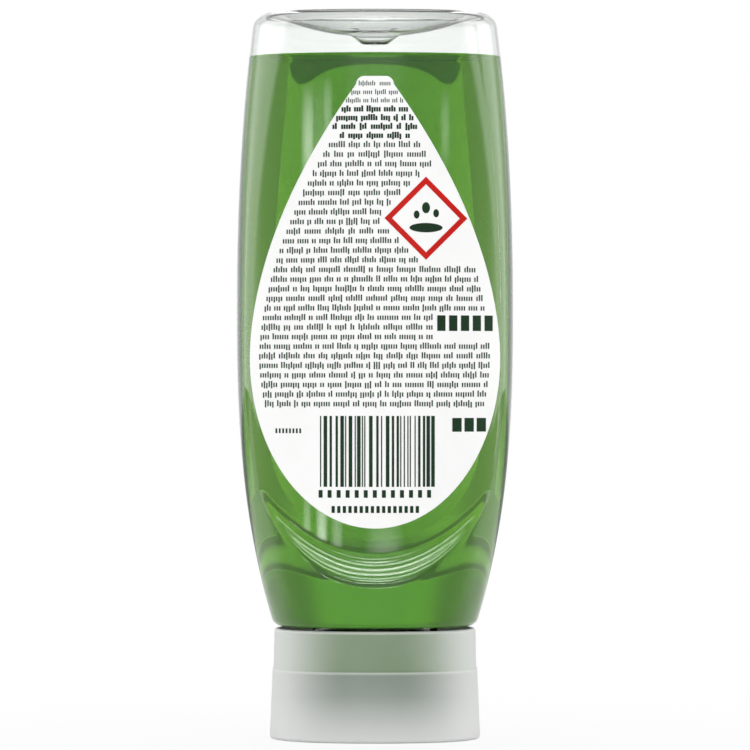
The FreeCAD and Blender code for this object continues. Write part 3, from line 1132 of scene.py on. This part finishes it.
class SOAPBOTTLE_OT_soap(bpy.types.Operator):
    """Fills the bottle with green soap up to its level"""

    bl_idname = "soapbottle.soap"
    bl_label = "Soap"

    def execute(self, context):
        look = settings().soap
        level = look.level / MM
        climb = look.meniscus / MM
        inset = BODY_WALL - SOAP_LAP
        foot = FOOT_HEIGHT + inset
        neck = NECK_BORE + SOAP_LAP
        rings = [
            round_ring(POINT_RADIUS, WELL_TOP),
            round_ring(WELL_RADIUS, WELL_TOP),
            round_ring(WELL_RADIUS, SOAP_FOOT),
            round_ring(neck, SOAP_FOOT),
            round_ring(neck, foot),
        ]
        shoulder = shoulder_rings(inset)
        edge = rings[-1]
        rings += [mixed_row(edge, shoulder[0], share) for share in spaced(0, 1, FLAT_STEPS)[1:-1]]
        rings += shoulder[:-1]
        low = FOOT_HEIGHT + SHOULDER_RADIUS
        rings += [body_ring(0, height, inset) for height in side_heights(low, level + climb)]
        for share in spaced(0, 1, MENISCUS_STEPS)[1:]:
            height = level + climb * (1 - share) ** 3
            rings.append(body_ring(MENISCUS_REACH * share, level, inset, height))
        edge = rings[-1]
        centre = round_ring(POINT_RADIUS, level)
        rings += [mixed_row(edge, centre, share) for share in spaced(0, 1, SURFACE_STEPS)[1:]]
        item = join_rings("green_soap", rings)
        dress(item, green_soap())
        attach(item, "bottle_unit")
        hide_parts("soap")
        return {"FINISHED"}


class SOAPBOTTLE_OT_labels(bpy.types.Operator):
    """Gives both labels their satin film"""

    bl_idname = "soapbottle.labels"
    bl_label = "Label film"

    def execute(self, context):
        look = settings().label
        film = mottled("label film", look.film, FILM_FINISH)
        let_light_through(film, -1, look.film, look.glow)
        dress(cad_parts["back_label"], film)
        front_film = mottled("front label film", look.film, FILM_FINISH)
        let_light_through(front_film, 1, look.film, look.glow)
        dress(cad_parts["front_label"], front_film)
        return {"FINISHED"}


class SOAPBOTTLE_OT_back_print(bpy.types.Operator):
    """Prints the back label with rows of plain blocks, bars and a framed mark"""

    bl_idname = "soapbottle.back_print"
    bl_label = "Back print"

    def execute(self, context):
        look = settings().label
        chance = random.Random(PRINT_SEED)
        shine = {"Specular_IOR_Level": INK_SHINE}
        ink = mottled("dark green ink", look.ink, DARK_INK_FINISH, **shine)
        sheet = PrintSheet(-1)
        print_rows(sheet, chance)
        print_bars(sheet, chance)
        print_blocks(sheet)
        print_mark_motif(sheet)
        sheet.finish("back_small_print", ink)
        accent = mottled("red ink", look.accent, RED_INK_FINISH, **shine)
        frame_sheet = PrintSheet(-1)
        print_mark_frame(frame_sheet)
        frame_sheet.finish("back_mark_frame", accent)
        return {"FINISHED"}


class SOAPBOTTLE_OT_front_print(bpy.types.Operator):
    """Prints the front label with plain fields of colour"""

    bl_idname = "soapbottle.front_print"
    bl_label = "Front print"

    def execute(self, context):
        look = settings().label
        field = PrintSheet(1)
        print_front_field(field)
        field.finish("front_field", mottled("green ink", look.field, FIELD_INK_FINISH))
        # Dark band along the front label's top, laid on the film; seen from the soap it lets light
        # through in the band's colour
        cap = PrintSheet(1)
        lay_front_cap_band(cap)
        deep = mottled("dark top band", look.field, DARK_BAND_FINISH)
        let_light_through(deep, 1, look.band, look.glow)
        cap.finish("front_cap_band", deep)
        motif = PrintSheet(1, look.relief / MM)
        print_front_motif(motif)
        motif.finish("front_motif", mottled("white ink", look.film, WHITE_INK_FINISH))
        return {"FINISHED"}


class SOAPBOTTLE_OT_closure(bpy.types.Operator):
    """Gives the closure its translucent satin moulding"""

    bl_idname = "soapbottle.closure"
    bl_label = "Closure"

    def execute(self, context):
        dress(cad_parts["closure"], frosted_plastic())
        return {"FINISHED"}


class SOAPBOTTLE_OT_valve_parts(bpy.types.Operator):
    """Gives the valve, its retainer and the impact housing their materials"""

    bl_idname = "soapbottle.valve_parts"
    bl_label = "Valve parts"

    def execute(self, context):
        look = settings().closure
        silicone = mottled("silicone", look.silicone, SILICONE_FINISH)
        white = mottled("white moulding", look.white, WHITE_MOULDING_FINISH)
        dress(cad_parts["slit_valve"], silicone)
        dress(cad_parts["valve_retainer"], white)
        dress(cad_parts["impact_housing"], white)
        return {"FINISHED"}


class SOAPBOTTLE_OT_seal(bpy.types.Operator):
    """Gives the peel-off seal its film"""

    bl_idname = "soapbottle.seal"
    bl_label = "Transit seal"

    def execute(self, context):
        film = mottled("seal film", settings().closure.seal, SEAL_FINISH)
        dress(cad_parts["transit_seal"], film)
        return {"FINISHED"}


def camera_ray_mix(tree, plain, bright, share):
    """Shader that shows its bright side to the camera, by a share, and its plain side else."""
    path = tree.nodes.new("ShaderNodeLightPath")
    mix = tree.nodes.new("ShaderNodeMixShader")
    amount = add_math(tree, "MULTIPLY", path.outputs["Is Camera Ray"], share)
    tree.links.new(amount, mix.inputs["Fac"])
    tree.links.new(plain, mix.inputs[1])
    tree.links.new(bright, mix.inputs[2])
    return mix.outputs["Shader"]


def plate_corners(half_width, half_height):
    """Corners of a flat plate round the origin, in millimetres."""
    return [(-half_width, -half_height, 0), (half_width, -half_height, 0),
            (half_width, half_height, 0), (-half_width, half_height, 0)]


def make_floor(look):
    """Plain pale floor that keeps the bottle's shadow; gloss and glass show it in shades."""
    material, shader = new_material("floor", look.floor, FLOOR_ROUGHNESS)
    tree = material.node_tree
    fine = add_noise(material, scale=FLOOR_GRAIN, detail=3)
    shade_colour(material, shader, fine, scaled(look.floor, FLOOR_MOTTLE), look.floor)
    path = tree.nodes.new("ShaderNodeLightPath")
    plain = shader.inputs["Base Color"].links[0].from_socket
    glow = tree.nodes.new("ShaderNodeEmission")
    glow.inputs["Color"].default_value = WHITE
    glow.inputs["Strength"].default_value = 1.0
    place = tree.nodes.new("ShaderNodeTexCoord")
    distance = tree.nodes.new("ShaderNodeVectorMath")
    distance.operation = "LENGTH"
    tree.links.new(place.outputs["Object"], distance.inputs[0])
    parts = tree.nodes.new("ShaderNodeSeparateXYZ")
    tree.links.new(place.outputs["Object"], parts.inputs["Vector"])
    back = add_share(tree, parts.outputs["Y"], SHADE_STRETCH, (0, 1), "LINEAR")
    shown = add_ramp(tree, back, list(zip(FLOOR_PLACES, greys(look.floor_shades))))
    colour = add_mix(tree, path.outputs["Is Glossy Ray"], plain, shown)
    tree.links.new(colour, shader.inputs["Base Color"])
    share = add_share(tree, distance.outputs["Value"], SHADOW_EDGES, (SHADOW_LEAST, 1))
    mixed = camera_ray_mix(tree, shader.outputs["BSDF"], glow.outputs["Emission"], share)
    tree.links.new(mixed, tree.nodes["Material Output"].inputs["Surface"])
    item = make_object("floor", plate_corners(FLOOR_REACH, FLOOR_REACH), [(0, 1, 2, 3)])
    dress(item, material)


def make_world(look):
    """White surround, shaded where it shows in the bottle.

    Gloss shows its front side dark and its far sides bright. Glass shows its sides and its
    upper part shaded.
    """
    world = bpy.data.worlds.new("studio")
    world.use_nodes = True
    tree = world.node_tree
    place = tree.nodes.new("ShaderNodeTexCoord")
    parts = tree.nodes.new("ShaderNodeSeparateXYZ")
    tree.links.new(place.outputs["Generated"], parts.inputs["Vector"])
    around = add_share(tree, parts.outputs["Y"], FRONT_EDGES, (look.front_shade, 1))
    above = add_share(tree, parts.outputs["Z"], SKY_EDGES, (look.front_shade, 1))
    seen = add_math(tree, "MAXIMUM", around, above)
    aside = add_math(tree, "ABSOLUTE", parts.outputs["X"])
    in_glass = add_share(tree, aside, GLASS_SIDE_EDGES, (1, look.side_shade))
    above_level = add_share(tree, parts.outputs["Z"], GLASS_UPPER_EDGES, (1, look.upper_shade))
    in_glass = add_math(tree, "MULTIPLY", in_glass, above_level)
    in_gloss = add_share(tree, aside, GLOSS_SIDE_EDGES, (1, look.side_gleam))
    path = tree.nodes.new("ShaderNodeLightPath")
    in_gloss = add_math(tree, "MULTIPLY", seen, in_gloss)
    # Rays through glass count as gloss too, so for them the glass shade replaces that of gloss.
    change = add_math(tree, "SUBTRACT", in_glass, in_gloss)
    change = add_math(tree, "MULTIPLY", change, path.outputs["Is Transmission Ray"])
    loss = add_math(tree, "SUBTRACT", 1, add_math(tree, "ADD", in_gloss, change))
    loss = add_math(tree, "MULTIPLY", loss, path.outputs["Is Glossy Ray"])
    level = add_math(tree, "MULTIPLY", add_math(tree, "SUBTRACT", 1, loss), look.daylight)
    plain = tree.nodes["Background"]
    tree.links.new(level, plain.inputs["Strength"])
    plain.inputs["Color"].default_value = WHITE
    bright = tree.nodes.new("ShaderNodeBackground")
    bright.inputs["Color"].default_value = WHITE
    bright.inputs["Strength"].default_value = 1.0
    mixed = camera_ray_mix(tree, plain.outputs["Background"], bright.outputs["Background"], 1.0)
    tree.links.new(mixed, tree.nodes["World Output"].inputs["Surface"])
    bpy.context.scene.world = world


def softbox_material(strength):
    """Light that fades towards a softbox's edges, along an arch that is 1 in the middle."""
    material = bpy.data.materials.new("softbox")
    material.use_nodes = True
    tree = material.node_tree
    tree.nodes.remove(tree.nodes["Principled BSDF"])
    place = tree.nodes.new("ShaderNodeTexCoord")
    parts = tree.nodes.new("ShaderNodeSeparateXYZ")
    tree.links.new(place.outputs["Generated"], parts.inputs["Vector"])
    level = strength
    for axis in ("X", "Y"):
        rest = add_math(tree, "SUBTRACT", 1, parts.outputs[axis])
        arch = add_math(tree, "MULTIPLY", add_math(tree, "MULTIPLY", rest, parts.outputs[axis]), 4)
        level = add_math(tree, "MULTIPLY", add_math(tree, "POWER", arch, SOFTBOX_FALLOFF), level)
    glow = tree.nodes.new("ShaderNodeEmission")
    tree.links.new(level, glow.inputs["Strength"])
    tree.links.new(glow.outputs["Emission"], tree.nodes["Material Output"].inputs["Surface"])
    return material


def make_softbox(name, azimuth, elevation, distance, size, strength):
    """Softbox that looks at the bottle; azimuth 0 is behind the camera, 90 on the right."""
    corners = plate_corners(size[0] / 2 / MM, size[1] / 2 / MM)
    item = make_object(name, corners, [(0, 1, 2, 3)], False)
    turn = math.radians(azimuth)
    lift = math.radians(elevation)
    level = distance * math.cos(lift)
    aim = Vector((0, 0, settings().stage.camera_height))
    away = Vector((level * math.sin(turn), -level * math.cos(turn), distance * math.sin(lift)))
    item.location = aim + away
    item.rotation_euler = away.to_track_quat("Z", "Y").to_euler()
    item.visible_camera = False
    item.visible_shadow = False
    item.visible_diffuse = False
    item.visible_transmission = False
    dress(item, softbox_material(strength))


class SOAPBOTTLE_OT_stage(bpy.types.Operator):
    """Makes the floor, the surround, the softboxes and the camera"""

    bl_idname = "soapbottle.stage"
    bl_label = "Stage"

    def execute(self, context):
        look = settings().stage
        make_floor(look)
        make_world(look)
        for name, azimuth, elevation, distance, size, share in SOFTBOXES:
            make_softbox(name, azimuth, elevation, distance, size, look.softbox * share)
        data = bpy.data.cameras.new("camera")
        data.lens = look.lens
        data.sensor_width = 36.0
        data.clip_start = 0.01
        data.clip_end = 50
        camera = bpy.data.objects.new("camera", data)
        camera.location = (0, -look.camera_distance, look.camera_height)
        camera.rotation_euler = (math.pi / 2, 0, 0)
        context.scene.collection.objects.link(camera)
        context.scene.camera = camera
        context.scene.view_settings.view_transform = "Standard"
        return {"FINISHED"}


class SOAPBOTTLE_PT_panel(bpy.types.Panel):
    """Lists the soap bottle's pieces"""

    bl_label = "Soap bottle"
    bl_idname = "SOAPBOTTLE_PT_panel"
    bl_space_type = "VIEW_3D"
    bl_region_type = "UI"
    bl_category = "Soap bottle"

    def draw(self, context):
        for operator in OPERATORS:
            self.layout.operator(operator.bl_idname)
        for look in (settings().bottle, settings().soap, settings().label,
                     settings().closure, settings().stage):
            box = self.layout.box()
            for name in look.__annotations__:
                box.prop(look, name)


OPERATORS = (
    SOAPBOTTLE_OT_bottle,
    SOAPBOTTLE_OT_soap,
    SOAPBOTTLE_OT_labels,
    SOAPBOTTLE_OT_back_print,
    SOAPBOTTLE_OT_front_print,
    SOAPBOTTLE_OT_closure,
    SOAPBOTTLE_OT_valve_parts,
    SOAPBOTTLE_OT_seal,
    SOAPBOTTLE_OT_stage,
)

CLASSES = (
    BottleLook,
    SoapLook,
    LabelLook,
    ClosureLook,
    StageLook,
    SoapBottleSettings,
    *OPERATORS,
    SOAPBOTTLE_PT_panel,
)


def register():
    for item in CLASSES:
        bpy.utils.register_class(item)
    bpy.types.Scene.soap_bottle = bpy.props.PointerProperty(type=SoapBottleSettings)


def unregister():
    del bpy.types.Scene.soap_bottle
    for item in reversed(CLASSES):
        bpy.utils.unregister_class(item)


def main():
    register()
    bpy.ops.soapbottle.bottle()
    bpy.ops.soapbottle.soap()
    bpy.ops.soapbottle.labels()
    bpy.ops.soapbottle.back_print()
    bpy.ops.soapbottle.front_print()
    bpy.ops.soapbottle.closure()
    bpy.ops.soapbottle.valve_parts()
    bpy.ops.soapbottle.seal()
    bpy.ops.soapbottle.stage()


if __name__ == "__main__":
    main()
